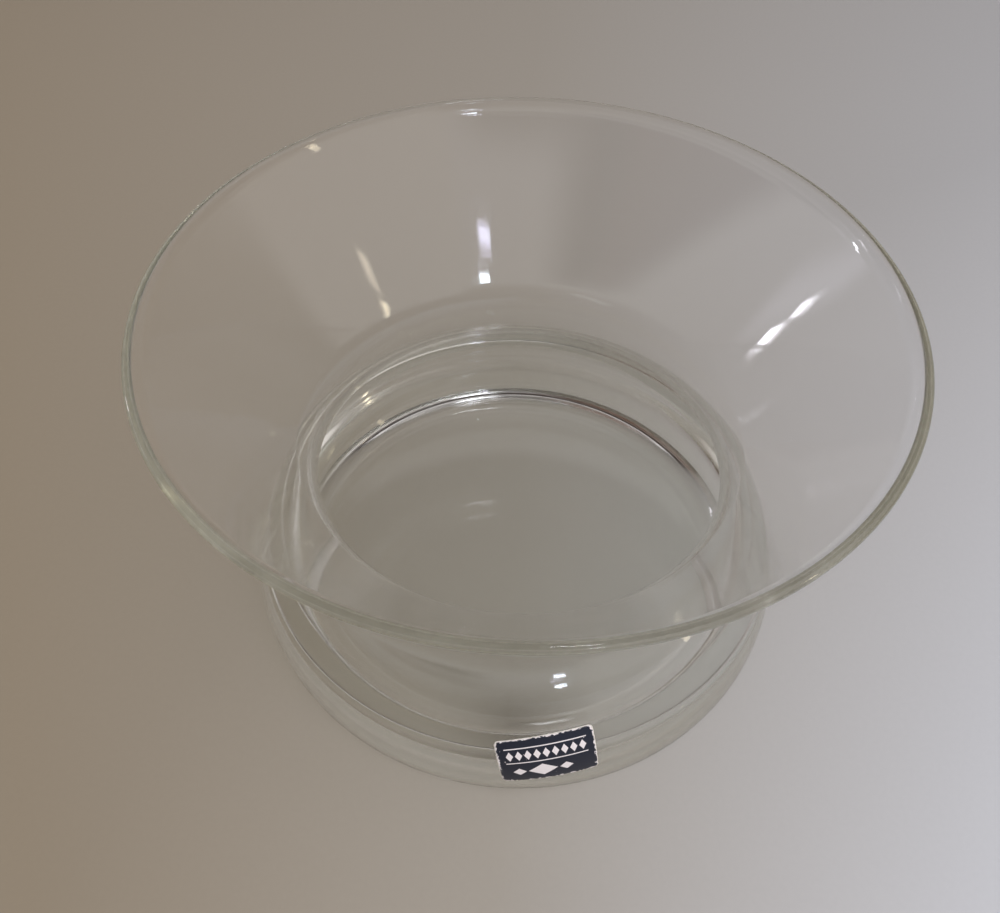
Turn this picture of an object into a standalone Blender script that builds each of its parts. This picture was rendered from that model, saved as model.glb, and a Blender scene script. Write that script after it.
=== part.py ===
"""Waisted glass bowl: one blown glass body with a funnel top and a domed foot, and a paper label on the foot.

Units are metres and degrees. +Z is up along the axis of the glass, which stands on z = 0 with the axis
through the origin. The label faces -Y.
"""

import math

import bpy
from mathutils import Matrix, Vector

# Glass body. Radii are taken from the axis and heights from the table.
RIM_RADIUS = 0.1100  # outside of the lip
HEIGHT = 0.1276  # table to the top of the lip
RIM_WALL = 0.0030  # the lip is a half-round bead of this thickness
WAIST_RADIUS = 0.0672  # bore of the neck
WAIST_HEIGHT = 0.0629  # level of the narrowest place
WAIST_CURVE = 0.0227  # radius of the neck's curve on the inside, seen in section
WAIST_WALL = 0.0026
FOOT_RADIUS = 0.0947  # outside of the foot at its widest
WIDEST_HEIGHT = 0.0113  # level where the foot is widest outside
CORNER_REACH = 0.0042  # how far the rounded foot corner turns in under the foot
FOOT_WALL = 0.0089  # from the widest place outside to the widest radius inside: the foot's corner is heavy
FOOT_BORE = FOOT_RADIUS - FOOT_WALL
BORE_HEIGHT = 0.0231  # level where the foot is widest inside
FLOOR_WALL = 0.0061
RISE_REACH = 0.0119  # the rise from the floor up to the bore takes this much of the radius
FLOOR_RADIUS = FOOT_BORE - RISE_REACH
FLOOR_PULL = 0.0045  # how far the rise keeps the floor's direction
BORE_PULL = 0.0046  # how far the rise keeps the upright direction below the bore
REST_RING = 0.0207  # width of the flat ring that the foot rests on
PUSH_UP = 0.0015  # height of the hollow under the foot
PUSH_UP_RADIUS = FOOT_RADIUS - CORNER_REACH - REST_RING

# Label on the shoulder of the foot.
LABEL_LENGTH = 0.0310
LABEL_WIDTH = 0.0203
LABEL_CORNER = 0.0016
LABEL_AZIMUTH = -81.8  # direction of the label's middle, anticlockwise from +X
LABEL_HEIGHT = 0.0252  # level of the label's middle on the shoulder
LABEL_TILT = 8.0  # the label is stuck on slightly askew
ADHESIVE_THICKNESS = 0.0002
PAPER_THICKNESS = 0.0003
SURFACE_GAP = 0.0003  # kept between touching pieces

# Facets.
TURN_STEPS = 72
WAIST_STEPS = 9
SHOULDER_STEPS = 8
CORNER_STEPS = 5
RISE_STEPS = 10
LIP_STEPS = 6
PUSH_UP_STEPS = 4
LABEL_STEPS = 10


def arc(centre, radii, start, end, steps):
    """Points of an elliptical arc in the (radius, height) plane, both ends included."""
    points = []
    for step in range(steps + 1):
        angle = math.radians(start + (end - start) * step / steps)
        points.append((centre[0] + radii[0] * math.cos(angle), centre[1] + radii[1] * math.sin(angle)))
    return points


def rise_curve(steps):
    """The inside of the foot's corner: a cubic curve from the flat floor to the widest place of the bore."""
    start, end = (FLOOR_RADIUS, FLOOR_WALL), (FOOT_BORE, BORE_HEIGHT)
    leave = (FLOOR_RADIUS + FLOOR_PULL, FLOOR_WALL)
    arrive = (FOOT_BORE, BORE_HEIGHT - BORE_PULL)
    points = []
    for step in range(steps + 1):
        t = step / steps
        shares = ((1 - t) ** 3, 3 * t * (1 - t) ** 2, 3 * t**2 * (1 - t), t**3)
        corners = (start, leave, arrive, end)
        points.append(tuple(sum(s * c[axis] for s, c in zip(shares, corners)) for axis in (0, 1)))
    return points


def cone_contact(rim, centre, radius):
    """Angle on the neck's arc where the straight funnel wall from the rim touches it."""
    run, rise = rim[0] - centre[0], rim[1] - centre[1]
    return math.degrees(math.atan2(rise, run) + math.acos(radius / math.hypot(run, rise)))


def shoulder_radius(waist_centre, waist_radius, widest):
    """Radius of the shoulder's arc: it touches the neck's arc and is upright at the widest point."""
    run = waist_centre[0] - widest[0]
    rise = waist_centre[1] - widest[1]
    return (run**2 + rise**2 - waist_radius**2) / (2 * (waist_radius - run))


def wall_profile(rim, waist_radius, widest):
    """One face of the wall from the rim down: straight funnel, concave neck, convex shoulder."""
    waist_centre = (WAIST_RADIUS + WAIST_CURVE, WAIST_HEIGHT)
    shoulder = shoulder_radius(waist_centre, waist_radius, widest)
    shoulder_centre = (widest[0] - shoulder, widest[1])
    top = cone_contact(rim, waist_centre, waist_radius)
    rise = waist_centre[1] - shoulder_centre[1]
    run = waist_centre[0] - shoulder_centre[0]
    meet = math.degrees(math.atan2(rise, run))
    points = [rim]
    points += arc(waist_centre, (waist_radius, waist_radius), top, 180 + meet, WAIST_STEPS)
    points += arc(shoulder_centre, (shoulder, shoulder), meet, 0, SHOULDER_STEPS)[1:]
    return points


def bowl_profile():
    """Section of the glass, from the middle of the inside floor over the lip to the middle of the underside."""
    lip_radius = RIM_WALL / 2
    lip_centre = (RIM_RADIUS - lip_radius, HEIGHT - lip_radius)
    outer_widest = (FOOT_RADIUS, WIDEST_HEIGHT)
    outer = wall_profile((RIM_RADIUS, lip_centre[1]), WAIST_CURVE - WAIST_WALL, outer_widest)
    inner = wall_profile((RIM_RADIUS - RIM_WALL, lip_centre[1]), WAIST_CURVE, (FOOT_BORE, BORE_HEIGHT))
    lip = arc(lip_centre, (lip_radius, lip_radius), 180, 0, LIP_STEPS)
    corner_centre = (FOOT_RADIUS - CORNER_REACH, WIDEST_HEIGHT)
    corner = arc(corner_centre, (CORNER_REACH, WIDEST_HEIGHT), 0, -90, CORNER_STEPS)
    shares = [1 - step / PUSH_UP_STEPS for step in range(PUSH_UP_STEPS + 1)]
    hollow = [(PUSH_UP_RADIUS * share, PUSH_UP * (1 - share**2)) for share in shares]
    return [(0, FLOOR_WALL)] + rise_curve(RISE_STEPS) + inner[-2:0:-1] + lip + outer[1:] + corner[1:] + hollow


def label_seat():
    """The arc of the foot's shoulder outside, as centre and radius, and the angle on it of the label's middle."""
    waist_centre = (WAIST_RADIUS + WAIST_CURVE, WAIST_HEIGHT)
    shoulder = shoulder_radius(waist_centre, WAIST_CURVE - WAIST_WALL, (FOOT_RADIUS, WIDEST_HEIGHT))
    elevation = math.degrees(math.asin((LABEL_HEIGHT - WIDEST_HEIGHT) / shoulder))
    return (FOOT_RADIUS - shoulder, WIDEST_HEIGHT), shoulder, elevation


def label_profile(inner_offset, thickness):
    """Section of a thin skin that follows the shoulder of the foot, as a closed loop."""
    centre, shoulder, elevation = label_seat()
    half_angle = math.degrees((LABEL_LENGTH + LABEL_WIDTH) / 2 / shoulder)
    low, high = elevation - half_angle, elevation + half_angle
    near = shoulder + inner_offset
    far = near + thickness
    outside = arc(centre, (far, far), high, low, LABEL_STEPS)
    inside = arc(centre, (near, near), low, high, LABEL_STEPS)
    return outside + inside


def label_frame():
    """Matrix at the label's middle on the glass: X along its length, Y up its width, Z out of the glass."""
    centre, shoulder, elevation = label_seat()
    azimuth, elevation = math.radians(LABEL_AZIMUTH), math.radians(elevation)
    out = Vector((math.cos(azimuth), math.sin(azimuth), 0))
    normal = out * math.cos(elevation) + Vector((0, 0, math.sin(elevation)))
    along = Vector((-math.sin(azimuth), math.cos(azimuth), 0))
    up = normal.cross(along)
    middle = out * centre[0] + Vector((0, 0, centre[1])) + normal * shoulder
    turn = Matrix((along, up, normal)).transposed().to_4x4()
    return Matrix.Translation(middle) @ turn @ Matrix.Rotation(math.radians(LABEL_TILT), 4, "Z")


def material(name, colour, roughness, transmission=0.0):
    """Principled material; colour is linear RGB."""
    made = bpy.data.materials.new(name)
    made.use_nodes = True
    shader = made.node_tree.nodes["Principled BSDF"]
    shader.inputs["Base Color"].default_value = (*colour, 1)
    shader.inputs["Metallic"].default_value = 0.0
    shader.inputs["Roughness"].default_value = roughness
    shader.inputs["Transmission Weight"].default_value = transmission
    shader.inputs["IOR"].default_value = 1.52
    return made


def turned(name, profile, collection, closed=False):
    """A shape turned about the Z axis from a profile of (radius, height) points."""
    mesh = bpy.data.meshes.new(name)
    edges = [(index, index + 1) for index in range(len(profile) - 1)]
    if closed:
        edges.append((len(profile) - 1, 0))
    mesh.from_pydata([(radius, 0, height) for radius, height in profile], edges, [])
    piece = bpy.data.objects.new(name, mesh)
    collection.objects.link(piece)
    screw = piece.modifiers.new("turn", "SCREW")
    screw.axis = "Z"
    screw.steps = screw.render_steps = TURN_STEPS
    screw.use_merge_vertices = True
    screw.merge_threshold = 0.00001
    screw.use_smooth_shade = True
    return piece


def label_cutter(collection):
    """A block with rounded corners that stands across the shoulder and cuts the label's outline."""
    bpy.ops.mesh.primitive_cube_add(size=1)
    block = bpy.context.object
    block.name = "label_outline"
    for vertex in block.data.vertices:
        vertex.co.x *= LABEL_LENGTH
        vertex.co.y *= LABEL_WIDTH
        vertex.co.z *= LABEL_WIDTH
    upright = [edge for edge in block.data.edges if is_upright(block.data, edge)]
    weights = block.data.attributes.new("bevel_weight_edge", "FLOAT", "EDGE")
    for edge in upright:
        weights.data[edge.index].value = 1.0
    bevel = block.modifiers.new("corners", "BEVEL")
    bevel.limit_method = "WEIGHT"
    bevel.width = LABEL_CORNER
    bevel.segments = 4
    block.matrix_world = label_frame()
    for owner in list(block.users_collection):
        owner.objects.unlink(block)
    collection.objects.link(block)
    block.hide_render = True
    block.display_type = "WIRE"
    return block


def is_upright(mesh, edge):
    """True for an edge of the block that runs along its own Z."""
    first, second = (mesh.vertices[index].co for index in edge.vertices)
    return abs(first.x - second.x) + abs(first.y - second.y) < abs(first.z - second.z)


def label_layer(name, inner_offset, thickness, outline, collection):
    """One layer of the label: a thin turned skin, cut to the label's outline."""
    layer = turned(name, label_profile(inner_offset, thickness), collection, closed=True)
    cut = layer.modifiers.new("outline", "BOOLEAN")
    cut.operation = "INTERSECT"
    cut.solver = "EXACT"
    cut.object = outline
    return layer


for old in list(bpy.data.objects):
    bpy.data.objects.remove(old, do_unlink=True)
parts = bpy.data.collections.new("waisted_glass_bowl")
cutters = bpy.data.collections.new("cutters")
cutters.hide_render = True
for group in (parts, cutters):
    bpy.context.scene.collection.children.link(group)

glass_bowl = turned("glass_bowl", bowl_profile(), parts)
glass_bowl.data.materials.append(material("clear_soda_lime_glass", (0.92, 0.96, 0.93), 0.02, 1.0))

outline = label_cutter(cutters)
label_adhesive = label_layer("label_adhesive", SURFACE_GAP, ADHESIVE_THICKNESS, outline, parts)
label_adhesive.data.materials.append(material("white_label_adhesive", (0.72, 0.68, 0.62), 0.6))

paper_offset = SURFACE_GAP + ADHESIVE_THICKNESS + SURFACE_GAP
label_face = label_layer("label_face", paper_offset, PAPER_THICKNESS, outline, parts)
label_face.data.materials.append(material("printed_label_paper", (0.012, 0.014, 0.030), 0.35))
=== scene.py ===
import math

import bpy
from mathutils import Matrix, Vector, noise


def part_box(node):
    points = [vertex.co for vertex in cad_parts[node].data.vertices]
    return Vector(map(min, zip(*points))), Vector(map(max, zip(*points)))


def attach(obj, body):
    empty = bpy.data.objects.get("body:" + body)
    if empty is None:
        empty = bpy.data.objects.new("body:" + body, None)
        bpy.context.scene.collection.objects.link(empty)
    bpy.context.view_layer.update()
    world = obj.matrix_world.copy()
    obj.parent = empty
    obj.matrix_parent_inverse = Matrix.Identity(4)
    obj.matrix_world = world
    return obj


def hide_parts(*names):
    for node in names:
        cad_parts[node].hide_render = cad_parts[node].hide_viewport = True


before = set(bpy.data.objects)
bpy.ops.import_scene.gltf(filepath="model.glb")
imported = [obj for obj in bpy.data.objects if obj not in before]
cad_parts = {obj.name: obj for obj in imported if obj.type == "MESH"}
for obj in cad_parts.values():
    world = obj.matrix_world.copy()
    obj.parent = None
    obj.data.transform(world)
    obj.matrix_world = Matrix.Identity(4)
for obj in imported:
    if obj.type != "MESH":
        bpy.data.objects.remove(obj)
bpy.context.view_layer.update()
MM = 0.001

# ---------------------------------------------------------------------------------------------------
# Helpers: colours, nodes and materials.
# ---------------------------------------------------------------------------------------------------


def linear(hex_colour):
    """An sRGB hex colour as linear RGBA."""
    shares = [int(hex_colour[i : i + 2], 16) / 255 for i in (1, 3, 5)]
    return tuple(s / 12.92 if s <= 0.04045 else ((s + 0.055) / 1.055) ** 2.4 for s in shares) + (1.0,)


def node(tree, kind, settings=None, sockets=None, links=None):
    """Adds a node: its own settings, the values of its sockets, and what is linked into them."""
    made = tree.nodes.new(kind)
    for name, value in (settings or {}).items():
        setattr(made, name, value)
    for name, value in (sockets or {}).items():
        made.inputs[name].default_value = value
    for name, source in (links or {}).items():
        tree.links.new(source, made.inputs[name])
    return made


def maths(tree, operation, *inputs):
    """A chain-friendly Math node; each input is a number or another node's output. Returns its output."""
    made = node(tree, "ShaderNodeMath", {"operation": operation})
    for index, value in enumerate(inputs):
        if isinstance(value, (int, float)):
            made.inputs[index].default_value = value
        else:
            tree.links.new(value, made.inputs[index])
    return made.outputs[0]


def new_material(name):
    """An empty node material and its output node."""
    made = bpy.data.materials.new(name)
    made.use_nodes = True
    made.node_tree.nodes.clear()
    return made, made.node_tree, made.node_tree.nodes.new("ShaderNodeOutputMaterial")

# ---------------------------------------------------------------------------------------------------
# The bowl. One gather of clear soda-lime glass, blown and turned to a wide funnel, a narrow waist and
# a domed foot, heavy at its corner, then fire-polished, which leaves a round bead at the lip and no
# tool marks. It stands free on the flat ring under its foot.
# ---------------------------------------------------------------------------------------------------
_, glass_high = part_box("glass_bowl")
RIM_RADIUS = glass_high.x
RIM_HEIGHT = glass_high.z
RIM_WALL = 3.0 * MM
WAIST_RADIUS = 67.2 * MM
WAIST_HEIGHT = 62.9 * MM
WAIST_CURVE = 22.7 * MM
WAIST_WALL = 2.6 * MM
FOOT_RADIUS = 94.7 * MM
WIDEST_HEIGHT = 11.3 * MM
CORNER_REACH = 4.2 * MM
FOOT_BORE = 85.8 * MM
BORE_HEIGHT = 23.1 * MM
FLOOR_WALL = 6.1 * MM
FLOOR_RADIUS = 73.9 * MM
FLOOR_PULL = 4.5 * MM
BORE_PULL = 4.6 * MM
PUSH_UP = 1.5 * MM
PUSH_UP_RADIUS = 69.8 * MM
TURN_STEPS = 360
FUNNEL_STEPS, WAIST_STEPS, SHOULDER_STEPS = 14, 36, 32
LIP_STEPS, CORNER_STEPS, RISE_STEPS, FLOOR_STEPS, RING_STEPS, PUSH_UP_STEPS = 20, 24, 36, 8, 4, 24
WELD = 0.01 * MM


def arc(centre, radii, start, end, steps):
    """Points of an elliptical arc in the (radius, height) plane, both ends included; angles in degrees."""
    points = []
    for step in range(steps + 1):
        angle = math.radians(start + (end - start) * step / steps)
        points.append((centre[0] + radii[0] * math.cos(angle), centre[1] + radii[1] * math.sin(angle)))
    return points


def straight(start, end, steps):
    """Points from start to end, both left out."""
    shares = [step / steps for step in range(1, steps)]
    return [(start[0] + (end[0] - start[0]) * s, start[1] + (end[1] - start[1]) * s) for s in shares]


def cubic(start, leave, arrive, end, steps):
    """Points of a cubic curve from start to end, both included."""
    points = []
    for step in range(steps + 1):
        t = step / steps
        shares = ((1 - t) ** 3, 3 * t * (1 - t) ** 2, 3 * t**2 * (1 - t), t**3)
        corners = (start, leave, arrive, end)
        points.append(tuple(sum(s * p[axis] for s, p in zip(shares, corners)) for axis in (0, 1)))
    return points


def shoulder_radius(waist_centre, waist_radius, widest):
    """Radius of the shoulder's arc, which touches the waist's arc and stands upright at the widest point."""
    run, rise = waist_centre[0] - widest[0], waist_centre[1] - widest[1]
    return (run**2 + rise**2 - waist_radius**2) / (2 * (waist_radius - run))


def wall_section(rim, waist_radius, widest):
    """One face of the wall, from the rim down: straight funnel, concave waist, convex shoulder."""
    centre = (WAIST_RADIUS + WAIST_CURVE, WAIST_HEIGHT)
    run, rise = rim[0] - centre[0], rim[1] - centre[1]
    top = math.degrees(math.atan2(rise, run) + math.acos(waist_radius / math.hypot(run, rise)))
    shoulder = shoulder_radius(centre, waist_radius, widest)
    shoulder_centre = (widest[0] - shoulder, widest[1])
    meet = math.degrees(math.atan2(centre[1] - shoulder_centre[1], centre[0] - shoulder_centre[0]))
    waist = arc(centre, (waist_radius, waist_radius), top, 180 + meet, WAIST_STEPS)
    foot = arc(shoulder_centre, (shoulder, shoulder), meet, 0, SHOULDER_STEPS)
    return [rim] + straight(rim, waist[0], FUNNEL_STEPS) + waist + foot[1:]


lip_radius = RIM_WALL / 2
lip_height = RIM_HEIGHT - lip_radius
outside = wall_section((RIM_RADIUS, lip_height), WAIST_CURVE - WAIST_WALL, (FOOT_RADIUS, WIDEST_HEIGHT))
inside = wall_section((RIM_RADIUS - RIM_WALL, lip_height), WAIST_CURVE, (FOOT_BORE, BORE_HEIGHT))
lip = arc((RIM_RADIUS - lip_radius, lip_height), (lip_radius, lip_radius), 180, 0, LIP_STEPS)
corner = arc(
    (FOOT_RADIUS - CORNER_REACH, WIDEST_HEIGHT), (CORNER_REACH, WIDEST_HEIGHT), 0, -90, CORNER_STEPS)
rise = cubic(
    (FLOOR_RADIUS, FLOOR_WALL), (FLOOR_RADIUS + FLOOR_PULL, FLOOR_WALL),
    (FOOT_BORE, BORE_HEIGHT - BORE_PULL), (FOOT_BORE, BORE_HEIGHT), RISE_STEPS)
hollow = []
for step in range(PUSH_UP_STEPS, -1, -1):
    hollow.append((PUSH_UP_RADIUS * step / PUSH_UP_STEPS, PUSH_UP * (1 - (step / PUSH_UP_STEPS) ** 2)))
section = straight((0, FLOOR_WALL), rise[0], FLOOR_STEPS) + rise + inside[-2:0:-1] + lip + outside[1:]
section += corner[1:] + straight(corner[-1], hollow[0], RING_STEPS) + hollow[:-1]

# The section is drawn point by point from the middle of the inside floor, over the lip, to the middle
# of the underside, and spun about the axis.
bpy.ops.object.select_all(action="DESELECT")
bpy.ops.mesh.primitive_circle_add(vertices=3, radius=MM, location=(0, 0, FLOOR_WALL))
glass = bpy.context.object
glass.name = "blown_glass"
glass.data.name = "blown_glass"
bpy.ops.object.transform_apply(location=True, rotation=True, scale=True)
bpy.ops.object.mode_set(mode="EDIT")
bpy.ops.mesh.select_all(action="SELECT")
bpy.ops.mesh.merge(type="CENTER")
at = (0, FLOOR_WALL)
for point in section + [(0, PUSH_UP)]:
    step = (point[0] - at[0], 0, point[1] - at[1])
    bpy.ops.mesh.extrude_region_move(TRANSFORM_OT_translate={"value": step})
    at = point
bpy.ops.mesh.select_all(action="SELECT")
bpy.ops.mesh.spin(steps=TURN_STEPS, angle=math.tau, center=(0, 0, 0), axis=(0, 0, 1))
bpy.ops.mesh.select_all(action="SELECT")
bpy.ops.mesh.remove_doubles(threshold=WELD)
bpy.ops.mesh.normals_make_consistent(inside=False)
bpy.ops.object.mode_set(mode="OBJECT")
bpy.ops.object.shade_smooth()


# Fire-polished soda-lime glass: clear, faintly grey-green where the eye looks along the wall, a little
# uneven from blowing, with fine wiping streaks that run round it. Light from the lamps and light on its
# way to the table pass straight through, so the bowl throws almost no shadow, as clear glass does.
GLASS_IOR = 1.52
STREAK_PITCH = 0.7 * MM
STREAKS_ROUND = 9.0
STREAK_SHARE = (0.52, 0.78)
STREAK_ROUGHNESS = (0.035, 0.12)
SWELL_SIZE = 38 * MM
SWELL_DEPTH = 0.04 * MM
THICK_TINT = "#DADBCD"
THICK_DENSITY = 6.0
THROUGH_TINT = "#F8F9F8"
glass_finish, tree, output = new_material("fire_polished_soda_lime_glass")
place = node(tree, "ShaderNodeTexCoord")
parts = node(tree, "ShaderNodeSeparateXYZ", links={0: place.outputs["Object"]})
radius = maths(tree, "SQRT", maths(tree, "ADD",
    maths(tree, "MULTIPLY", parts.outputs[0], parts.outputs[0]),
    maths(tree, "MULTIPLY", parts.outputs[1], parts.outputs[1])))
around = maths(tree, "ARCTAN2", parts.outputs[1], parts.outputs[0])
ring_place = node(tree, "ShaderNodeCombineXYZ", links={
    0: maths(tree, "MULTIPLY", radius, 1 / STREAK_PITCH),
    1: maths(tree, "MULTIPLY", around, STREAKS_ROUND),
    2: maths(tree, "MULTIPLY", parts.outputs[2], 1 / STREAK_PITCH)})
streaks = node(tree, "ShaderNodeTexNoise", sockets={"Scale": 1.0, "Detail": 3.0},
               links={0: ring_place.outputs[0]})
wiped = node(tree, "ShaderNodeMapRange", sockets={
    "From Min": STREAK_SHARE[0], "From Max": STREAK_SHARE[1],
    "To Min": STREAK_ROUGHNESS[0], "To Max": STREAK_ROUGHNESS[1]}, links={0: streaks.outputs["Fac"]})
swell = node(tree, "ShaderNodeTexNoise", sockets={"Scale": 1 / SWELL_SIZE, "Detail": 1.0},
             links={0: place.outputs["Object"]})
blown = node(tree, "ShaderNodeBump", sockets={"Strength": 1.0, "Distance": SWELL_DEPTH},
             links={"Height": swell.outputs["Fac"]})
body = node(tree, "ShaderNodeBsdfPrincipled", sockets={
    "Base Color": linear("#FFFFFF"), "IOR": GLASS_IOR, "Transmission Weight": 1.0},
    links={"Roughness": wiped.outputs[0], "Normal": blown.outputs[0]})
clear = node(tree, "ShaderNodeBsdfTransparent", sockets={"Color": linear(THROUGH_TINT)})
path = node(tree, "ShaderNodeLightPath")
for_lamps = node(tree, "ShaderNodeMixShader", links={
    0: path.outputs["Is Shadow Ray"], 1: body.outputs[0], 2: clear.outputs[0]})
for_table = node(tree, "ShaderNodeMixShader", links={
    0: path.outputs["Is Diffuse Ray"], 1: for_lamps.outputs[0], 2: clear.outputs[0]})
tint = node(tree, "ShaderNodeVolumeAbsorption", sockets={
    "Color": linear(THICK_TINT), "Density": THICK_DENSITY})
tree.links.new(for_table.outputs[0], output.inputs["Surface"])
tree.links.new(tint.outputs[0], output.inputs["Volume"])
glass.data.materials.append(glass_finish)
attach(glass, "root")
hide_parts("glass_bowl")

# ---------------------------------------------------------------------------------------------------
# The label's adhesive. A white film, pressed on a little askew, halfway up the foot's shoulder; it
# shows all round, where the paper on it has chipped.
# ---------------------------------------------------------------------------------------------------
LABEL_LENGTH = 31.0 * MM
LABEL_WIDTH = 20.3 * MM
LABEL_CORNER = 1.6 * MM
LABEL_AZIMUTH = -81.8
LABEL_HEIGHT = 25.2 * MM
LABEL_TILT = 8.0
SHEET_CELLS = (155, 102)
CHIPPED_BAND = 1.5 * MM
CHIP_SIZE = 0.9 * MM
CHIP_SLICE = 7.3 * MM
FILM_LIFT, FILM_THICKNESS, FILM_CHIPS = 0.03 * MM, 0.05 * MM, 0.3 * MM


def label_place():
    """Matrix at the label's middle on the glass: X along its length, Y up its width, Z out of the glass."""
    waist_centre = (WAIST_RADIUS + WAIST_CURVE, WAIST_HEIGHT)
    shoulder = shoulder_radius(waist_centre, WAIST_CURVE - WAIST_WALL, (FOOT_RADIUS, WIDEST_HEIGHT))
    azimuth = math.radians(LABEL_AZIMUTH)
    elevation = math.asin((LABEL_HEIGHT - WIDEST_HEIGHT) / shoulder)
    out = Vector((math.cos(azimuth), math.sin(azimuth), 0))
    normal = out * math.cos(elevation) + Vector((0, 0, math.sin(elevation)))
    along = Vector((-math.sin(azimuth), math.cos(azimuth), 0))
    middle = out * (FOOT_RADIUS - shoulder) + Vector((0, 0, WIDEST_HEIGHT)) + normal * shoulder
    turn = Matrix((along, normal.cross(along), normal)).transposed().to_4x4()
    return Matrix.Translation(middle) @ turn @ Matrix.Rotation(math.radians(LABEL_TILT), 4, "Z")


def label_sheet(name, length, width, lift, thickness, chips):
    """A thin sheet with rounded, chipped edges, pressed onto the glass at a small lift from it."""
    bpy.ops.object.select_all(action="DESELECT")
    bpy.ops.mesh.primitive_grid_add(x_subdivisions=SHEET_CELLS[0], y_subdivisions=SHEET_CELLS[1], size=1)
    sheet = bpy.context.object
    sheet.name = name
    sheet.data.name = name
    for vertex in sheet.data.vertices:
        x, y = vertex.co.x * length, vertex.co.y * width
        reach_x, reach_y = length / 2 - LABEL_CORNER, width / 2 - LABEL_CORNER
        # the square corner's points are drawn in to the rounded corner's circle
        over_x, over_y = abs(x) - reach_x, abs(y) - reach_y
        if over_x > 0 and over_y > 0:
            share = max(over_x, over_y) / math.hypot(over_x, over_y)
            x = math.copysign(reach_x + over_x * share, x)
            y = math.copysign(reach_y + over_y * share, y)
        inset = min(length / 2 - abs(x), width / 2 - abs(y))
        edge = max(0.0, 1 - inset / CHIPPED_BAND)
        bite = chips * edge * max(0.0, noise.noise(Vector((x, y, CHIP_SLICE)) / CHIP_SIZE))
        pull = 1 - bite / math.hypot(length / 2, width / 2)
        vertex.co = (x * pull, y * pull, 0)
    sheet.matrix_world = label_place()
    bpy.ops.object.transform_apply(location=True, rotation=True, scale=True)
    press = sheet.modifiers.new("press", "SHRINKWRAP")
    press.target = glass
    press.wrap_method = "NEAREST_SURFACEPOINT"
    press.wrap_mode = "OUTSIDE_SURFACE"
    press.offset = lift
    bpy.ops.object.modifier_apply(modifier="press")
    wall = sheet.modifiers.new("wall", "SOLIDIFY")
    wall.thickness = thickness
    wall.offset = 1.0
    bpy.ops.object.modifier_apply(modifier="wall")
    bpy.ops.object.shade_smooth()
    return sheet


adhesive = label_sheet("adhesive_film", LABEL_LENGTH, LABEL_WIDTH, FILM_LIFT, FILM_THICKNESS, FILM_CHIPS)

# Dried acrylic adhesive: off-white, matte, without any print.
film_finish, tree, output = new_material("dried_acrylic_adhesive")
film = node(tree, "ShaderNodeBsdfPrincipled", sockets={
    "Base Color": linear("#D9D3CC"), "Roughness": 0.65, "IOR": 1.47})
tree.links.new(film.outputs[0], output.inputs["Surface"])
adhesive.data.materials.append(film_finish)
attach(adhesive, "root")
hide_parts("label_adhesive")

# ---------------------------------------------------------------------------------------------------
# The label's paper. Satin paper on the film, printed navy with plain rules and lozenges, whose edges
# have chipped and show the white.
# ---------------------------------------------------------------------------------------------------
PAPER_MARGIN = 0.5 * MM
PAPER_LIFT, PAPER_THICKNESS, PAPER_CHIPS = 0.1 * MM, 0.09 * MM, 0.8 * MM
NAVY, BARE_WHITE = "#121829", "#E6DFE0"
INK_ROUGHNESS, FIBRE_ROUGHNESS = 0.34, 0.6
ROW_HALF_LENGTH = 0.42
SMALL_COUNT = 9
SMALL_LOZENGE = (0.5, 0.66, 0.40, 0.105)
RULE_HEIGHTS, RULE_HALF_WIDTH = (0.82, 0.50), 0.011
LOWER_LOZENGES = [(0.44, 0.27, 0.15, 0.15), (0.20, 0.27, 0.07, 0.09), (0.68, 0.27, 0.07, 0.09)]
FLAKE_SIZE, SPECK_SIZE = 1.3 * MM, 0.8 * MM
FLAKE_REACH, FLAKE_START = 3.4, -1.45
SPECK_LEVEL = 0.76
RELIEF_DEPTH = 0.03 * MM

face = label_sheet(
    "printed_paper", LABEL_LENGTH - PAPER_MARGIN, LABEL_WIDTH - PAPER_MARGIN,
    PAPER_LIFT, PAPER_THICKNESS, PAPER_CHIPS)

# Satin paper, printed navy by offset: the ink is a little glossy, and it has flaked to the white fibre
# along the edges and in a few specks. U and V run 0 to 1 along the paper's length and width.
paper_finish, tree, output = new_material("satin_printed_paper")
sheet_place = node(tree, "ShaderNodeTexCoord")
sheet_parts = node(tree, "ShaderNodeSeparateXYZ", links={0: sheet_place.outputs["UV"]})
along_u, up_v = sheet_parts.outputs[0], sheet_parts.outputs[1]


def lozenge(u, centre_u, centre_v, half_u, half_v):
    """1 inside a lozenge of the sheet, 0 outside it."""
    side = maths(tree, "DIVIDE", maths(tree, "ABSOLUTE", maths(tree, "SUBTRACT", u, centre_u)), half_u)
    rise = maths(tree, "DIVIDE", maths(tree, "ABSOLUTE", maths(tree, "SUBTRACT", up_v, centre_v)), half_v)
    return maths(tree, "LESS_THAN", maths(tree, "ADD", side, rise), 1.0)


def rule(centre_v, half_v):
    """1 inside a thin rule across the sheet, 0 outside it."""
    off = maths(tree, "ABSOLUTE", maths(tree, "SUBTRACT", up_v, centre_v))
    return maths(tree, "LESS_THAN", off, half_v)


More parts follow.
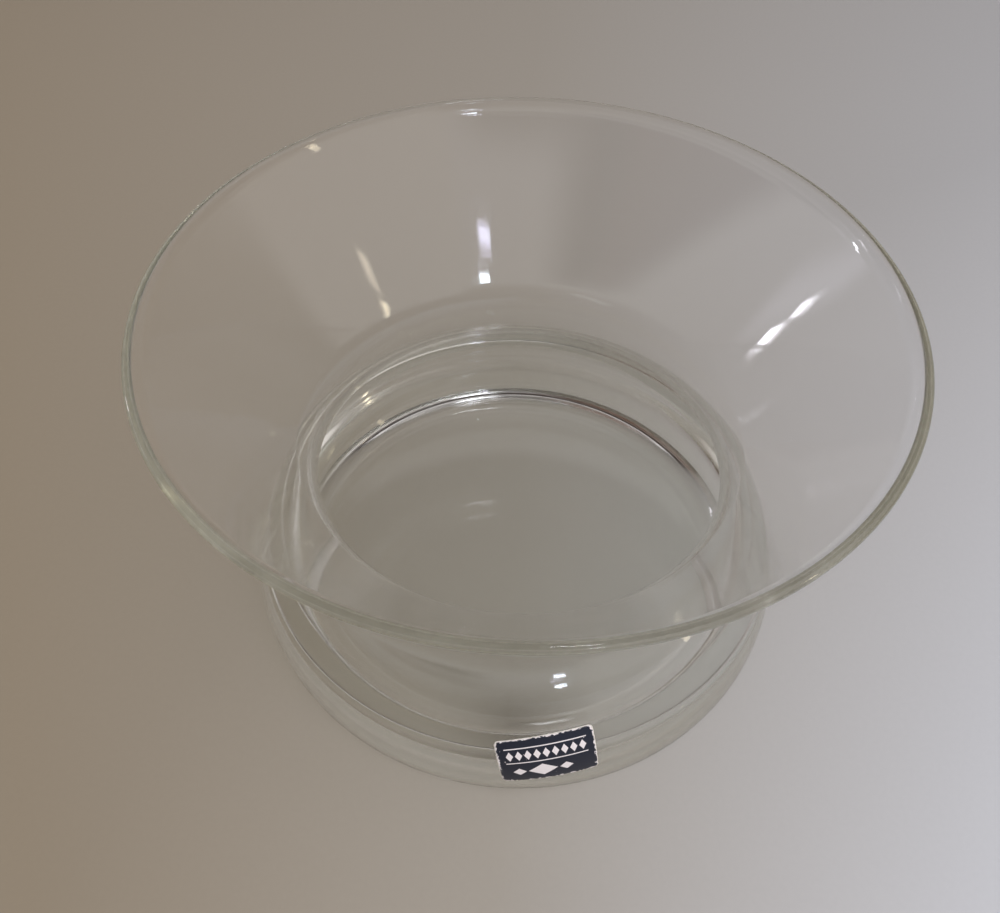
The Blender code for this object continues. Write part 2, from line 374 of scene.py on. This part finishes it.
ROW_START = 0.5 - ROW_HALF_LENGTH
off_middle = maths(tree, "ABSOLUTE", maths(tree, "SUBTRACT", along_u, 0.5))
in_row = maths(tree, "LESS_THAN", off_middle, ROW_HALF_LENGTH)
cell = maths(tree, "FRACT", maths(
    tree, "MULTIPLY", maths(tree, "SUBTRACT", along_u, ROW_START), SMALL_COUNT / (2 * ROW_HALF_LENGTH)))
row = maths(tree, "MULTIPLY", lozenge(cell, *SMALL_LOZENGE), in_row)
upper_rule, lower_rule = (rule(height, RULE_HALF_WIDTH) for height in RULE_HEIGHTS)
rules = maths(tree, "MULTIPLY", maths(tree, "ADD", upper_rule, lower_rule), in_row)
print_mask = maths(tree, "ADD", row, rules)
for shape in LOWER_LOZENGES:
    print_mask = maths(tree, "ADD", print_mask, lozenge(along_u, *shape))
print_mask = maths(tree, "MINIMUM", print_mask, 1.0)

inset_u = maths(tree, "MULTIPLY", maths(tree, "SUBTRACT", 0.5, off_middle), LABEL_LENGTH / MM)
off_centre = maths(tree, "ABSOLUTE", maths(tree, "SUBTRACT", up_v, 0.5))
inset_v = maths(tree, "MULTIPLY", maths(tree, "SUBTRACT", 0.5, off_centre), LABEL_WIDTH / MM)
inset = maths(tree, "MINIMUM", inset_u, inset_v)
flakes = node(tree, "ShaderNodeTexNoise", sockets={
    "Scale": 1 / FLAKE_SIZE, "Detail": 5.0, "Roughness": 0.65}, links={0: sheet_place.outputs["Object"]})
flake_limit = maths(tree, "MULTIPLY_ADD", flakes.outputs["Fac"], FLAKE_REACH, FLAKE_START)
flaked_edge = maths(tree, "LESS_THAN", inset, flake_limit)
specks = node(tree, "ShaderNodeTexNoise", sockets={"Scale": 1 / SPECK_SIZE, "Detail": 2.0},
              links={0: sheet_place.outputs["Object"]})
flaked_specks = maths(tree, "GREATER_THAN", specks.outputs["Fac"], SPECK_LEVEL)
flaked = maths(tree, "MAXIMUM", flaked_edge, flaked_specks)
white = maths(tree, "MAXIMUM", print_mask, flaked)
ink = node(tree, "ShaderNodeMix", {"data_type": "RGBA"},
           {6: linear(NAVY), 7: linear(BARE_WHITE)}, {0: white})
satin = node(tree, "ShaderNodeMapRange", sockets={
    "To Min": INK_ROUGHNESS, "To Max": FIBRE_ROUGHNESS}, links={0: flaked})
relief = node(tree, "ShaderNodeBump", sockets={"Strength": 0.6, "Distance": RELIEF_DEPTH})
tree.links.new(maths(tree, "SUBTRACT", maths(tree, "MULTIPLY", specks.outputs["Fac"], 0.5), flaked),
               relief.inputs["Height"])
paper = node(tree, "ShaderNodeBsdfPrincipled", sockets={"IOR": 1.5}, links={
    "Base Color": ink.outputs[2], "Roughness": satin.outputs[0], "Normal": relief.outputs[0]})
tree.links.new(paper.outputs[0], output.inputs["Surface"])
face.data.materials.append(paper_finish)
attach(face, "root")
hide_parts("label_face")

# ---------------------------------------------------------------------------------------------------
# The stage: a matte, pale, warm grey tabletop in a plain room. A dark figure leans over it and brown
# furniture stands beside it, which the glass mirrors; daylight comes from small windows and all round.
# ---------------------------------------------------------------------------------------------------
TABLE_SIZE = 1.4
# the table's own warm grey in the middle, painted lighter and cooler towards the daylight and darker and
# warmer away from it
TABLE_TONES_AND_PAINTED_LIGHT = [(0.0, "#A09380"), (0.5, "#ADA69C"), (1.0, "#C8C9CD")]
FAN_REACH, FAN_START, FAN_LEAST = 0.45, 0.45, 0.15
GRAIN_SIZE = 2.0 * MM
FAR_FROM, FAR_TO = -0.15, 0.35
EVEN_SHADE, FAR_SHADE = 0.15, 0.08

bpy.ops.object.select_all(action="DESELECT")
bpy.ops.mesh.primitive_plane_add(size=TABLE_SIZE, location=(0, 0, -0.05 * MM))
table = bpy.context.object
table.name = "tabletop"
bpy.ops.object.transform_apply(location=True, rotation=True, scale=True)
table_finish, tree, output = new_material("matte_grey_laminate")
floor_place = node(tree, "ShaderNodeTexCoord")
floor_parts = node(tree, "ShaderNodeSeparateXYZ", links={0: floor_place.outputs["Object"]})
# painted light: the table's colour is painted lighter and cooler at the end that stands nearer to the
# daylight, and warmer at the other
away_from_source = maths(tree, "ADD", floor_parts.outputs[1], FAN_START)
fan = maths(tree, "DIVIDE", floor_parts.outputs[0], maths(tree, "MAXIMUM", away_from_source, FAN_LEAST))
grain = node(tree, "ShaderNodeTexNoise", sockets={"Scale": 1 / GRAIN_SIZE, "Detail": 4.0},
             links={0: floor_place.outputs["Object"]})
shade = node(tree, "ShaderNodeMapRange", sockets={
    "From Min": -FAN_REACH, "From Max": FAN_REACH, "To Min": 0.0, "To Max": 1.0}, links={0: fan})
tone_and_painted_light = node(tree, "ShaderNodeValToRGB", links={0: shade.outputs[0]})
while len(tone_and_painted_light.color_ramp.elements) < len(TABLE_TONES_AND_PAINTED_LIGHT):
    tone_and_painted_light.color_ramp.elements.new(0.5)
for element, (position, colour) in zip(tone_and_painted_light.color_ramp.elements, TABLE_TONES_AND_PAINTED_LIGHT):
    element.position = position
    element.color = linear(colour)
mottle = node(tree, "ShaderNodeMapRange", sockets={"To Min": 0.975, "To Max": 1.025},
              links={0: grain.outputs["Fac"]})
# painted shade: the table's colour is painted darker where the light fades, towards two opposite corners of
# the table and a little towards its far side
far_side = node(tree, "ShaderNodeMapRange", sockets={"From Min": FAR_FROM, "From Max": FAR_TO},
                links={0: floor_parts.outputs[1]})
apart = maths(tree, "ABSOLUTE", maths(tree, "SUBTRACT", shade.outputs[0], far_side.outputs[0]))
even = maths(tree, "SUBTRACT", 1.0, apart)
lit = maths(tree, "MULTIPLY", mottle.outputs[0], maths(tree, "MULTIPLY_ADD", even, -EVEN_SHADE, 1.0))
far_light = maths(tree, "MULTIPLY_ADD", far_side.outputs[0], -FAR_SHADE, 1.0)
lit = maths(tree, "MULTIPLY", lit, far_light)
# the grained tone with the painted light and painted shade multiplied in
tone_with_painted_shade = node(tree, "ShaderNodeMix", {"data_type": "RGBA", "blend_type": "MULTIPLY"}, {0: 1.0},
               {6: tone_and_painted_light.outputs[0], 7: lit})
laminate = node(tree, "ShaderNodeBsdfPrincipled", sockets={"Roughness": 0.6, "Specular IOR Level": 0.2},
                links={"Base Color": tone_with_painted_shade.outputs[2]})
tree.links.new(laminate.outputs[0], output.inputs["Surface"])
table.data.materials.append(table_finish)

world = bpy.data.worlds.new("dim_room")
bpy.context.scene.world = world
world.use_nodes = True
tree = world.node_tree
sky = node(tree, "ShaderNodeTexCoord")
sky_parts = node(tree, "ShaderNodeSeparateXYZ", links={0: sky.outputs["Generated"]})
bands = node(tree, "ShaderNodeValToRGB", links={0: sky_parts.outputs[2]})
ROOM_STRENGTH = 1.24
ROOM = [(0.0, "#857E76"), (0.30, "#A39C95"), (0.48, "#D4D0CD"), (0.62, "#DAD6D8"), (1.0, "#D4D2D1")]
while len(bands.color_ramp.elements) < len(ROOM):
    bands.color_ramp.elements.new(0.5)
for element, (height, colour) in zip(bands.color_ramp.elements, ROOM):
    element.position = height
    element.color = linear(colour)
heading = maths(
    tree, "MULTIPLY", maths(tree, "ARCTAN2", sky_parts.outputs[1], sky_parts.outputs[0]), 180 / math.pi)
PATCH_EDGE_IN, PATCH_EDGE_OUT = 0.03, 0.05


def room_patch(under, azimuth, half_width, low, high, soft, colour):
    """Paints a soft-edged patch of the room over the colour so far; low and high are sines of elevation."""
    turned = maths(tree, "WRAP", maths(tree, "SUBTRACT", heading, azimuth), 180.0, -180.0)
    aside = node(tree, "ShaderNodeMapRange", {"interpolation_type": "SMOOTHSTEP"}, {
        "From Min": half_width, "From Max": half_width + soft, "To Min": 1.0, "To Max": 0.0},
        {0: maths(tree, "ABSOLUTE", turned)})
    middle, half_height = (low + high) / 2, (high - low) / 2
    above = node(tree, "ShaderNodeMapRange", {"interpolation_type": "SMOOTHSTEP"}, {
        "From Min": half_height - PATCH_EDGE_IN, "From Max": half_height + PATCH_EDGE_OUT,
        "To Min": 1.0, "To Max": 0.0},
        {0: maths(tree, "ABSOLUTE", maths(tree, "SUBTRACT", sky_parts.outputs[2], middle))})
    share = maths(tree, "MULTIPLY", aside.outputs[0], above.outputs[0])
    mixed = node(tree, "ShaderNodeMix", {"data_type": "RGBA"}, {7: linear(colour)}, {0: share, 6: under})
    return mixed.outputs[2]


# azimuth, half width and softness in degrees; low and high as sines of elevation
ROOM_PATCHES = [
    (-25.0, 30.0, 0.22, 0.78, 10.0, "#DAD4D0"),  # pale wall
    (161.0, 5.0, 0.27, 0.34, 6.0, "#F2EEF4"),  # bright window haze
    (95.0, 180.0, 0.86, 1.10, 10.0, "#121010"),  # dim ceiling above
    (90.0, 45.0, 0.62, 1.10, 15.0, "#2A201C"),  # brown shelf
    (-110.0, 36.0, 0.66, 1.10, 20.0, "#0F0E0E"),  # dark figure
    (-130.0, 14.0, 0.50, 0.75, 26.0, "#2A2522"),  # its lower part
    (178.0, 52.0, 0.50, 1.10, 12.0, "#4C2F21"),  # brown furniture
]
painted = bands.outputs[0]
for patch in ROOM_PATCHES:
    painted = room_patch(painted, *patch)
background = tree.nodes["Background"]
tree.links.new(painted, background.inputs["Color"])
background.inputs["Strength"].default_value = ROOM_STRENGTH


def toward(azimuth, elevation):
    """Unit vector at that azimuth and elevation, in degrees."""
    flat = Vector((math.cos(math.radians(azimuth)), math.sin(math.radians(azimuth)), 0))
    return flat * math.cos(math.radians(elevation)) + Vector((0, 0, math.sin(math.radians(elevation))))


def panel_light(name, aim, azimuth, elevation, distance, width, height, watts, colour, mirrored=True):
    """A rectangular soft light, seen from the aimed point (mm) at that azimuth and elevation."""
    away = toward(azimuth, elevation)
    lamp = bpy.data.lights.new(name, "AREA")
    lamp.shape = "RECTANGLE"
    lamp.size, lamp.size_y = width, height
    lamp.energy = watts
    lamp.color = linear(colour)[:3]
    holder = bpy.data.objects.new(name, lamp)
    bpy.context.scene.collection.objects.link(holder)
    holder.location = Vector(aim) * MM + away * distance
    holder.rotation_euler = (-away).to_track_quat("-Z", "Y").to_euler()
    holder.visible_glossy = mirrored
    holder.visible_transmission = mirrored
    return holder


BACK_WALL, RIGHT_WALL, LEFT_WALL = (-15, 75, 82), (82, 28, 98), (-53, 56, 85)
panel_light("window_lower_pane", BACK_WALL, -69.4, 29.8, 2.5, 0.17, 0.115, 1.7, "#E6F0FF")
panel_light("window_upper_pane", BACK_WALL, -70.4, 34.2, 2.5, 0.18, 0.060, 0.36, "#DCDCFA")
panel_light("window_upper_strip", BACK_WALL, -70.6, 33.0, 2.5, 0.18, 0.022, 0.07, "#DCDCFA")
panel_light("far_window_wide", RIGHT_WALL, 160.4, 13.2, 2.5, 0.10, 0.11, 0.9, "#F6F4FF")
panel_light("far_window_side", RIGHT_WALL, 158.4, 15.7, 2.5, 0.07, 0.07, 0.25, "#F6F4FF")
panel_light("ceiling_glint", (0, 0, 0), -20.0, 82.0, 2.5, 0.20, 0.30, 2.5, "#F4F6FF")
panel_light("lamp_right_upper", LEFT_WALL, -18.6, 25.5, 2.5, 0.10, 0.113, 0.12, "#FFF1D8")
panel_light("lamp_right_lower", LEFT_WALL, -19.8, 18.0, 2.5, 0.10, 0.45, 1.0, "#FFF1D0")
panel_light("soft_key", (0, 0, 0), -60.0, 55.0, 2.5, 2.2, 2.2, 57.0, "#F2F4F8", mirrored=False)

# The camera looks down into the bowl from the front, from about 30 cm above the table.
camera_data = bpy.data.cameras.new("camera")
camera = bpy.data.objects.new("camera", camera_data)
bpy.context.scene.collection.objects.link(camera)
bpy.context.scene.camera = camera
camera_data.sensor_width = 36.0
camera_data.lens = 32.4
camera_data.shift_x = 0.010
camera_data.shift_y = 0.0235
camera_data.clip_start = 0.001
CAMERA_BACK, CAMERA_UP = 197.2 * MM, 292.5 * MM
CAMERA_PITCH, CAMERA_YAW, CAMERA_ROLL = 51.4, 2.79, 0.51
turn = Matrix.Rotation(math.radians(CAMERA_YAW), 4, "Z")
turn = turn @ Matrix.Rotation(math.radians(90 - CAMERA_PITCH), 4, "X")
turn = turn @ Matrix.Rotation(math.radians(CAMERA_ROLL), 4, "Z")
camera.matrix_world = Matrix.Translation((0, -CAMERA_BACK, CAMERA_UP)) @ turn

scene = bpy.context.scene
scene.view_settings.view_transform = "Standard"
# light that the thick glass guides round inside itself needs many bounces
GUIDED_BOUNCES = 96
scene.cycles.max_bounces = GUIDED_BOUNCES
scene.cycles.glossy_bounces = GUIDED_BOUNCES
scene.cycles.transmission_bounces = GUIDED_BOUNCES
scene.cycles.transparent_max_bounces = 24
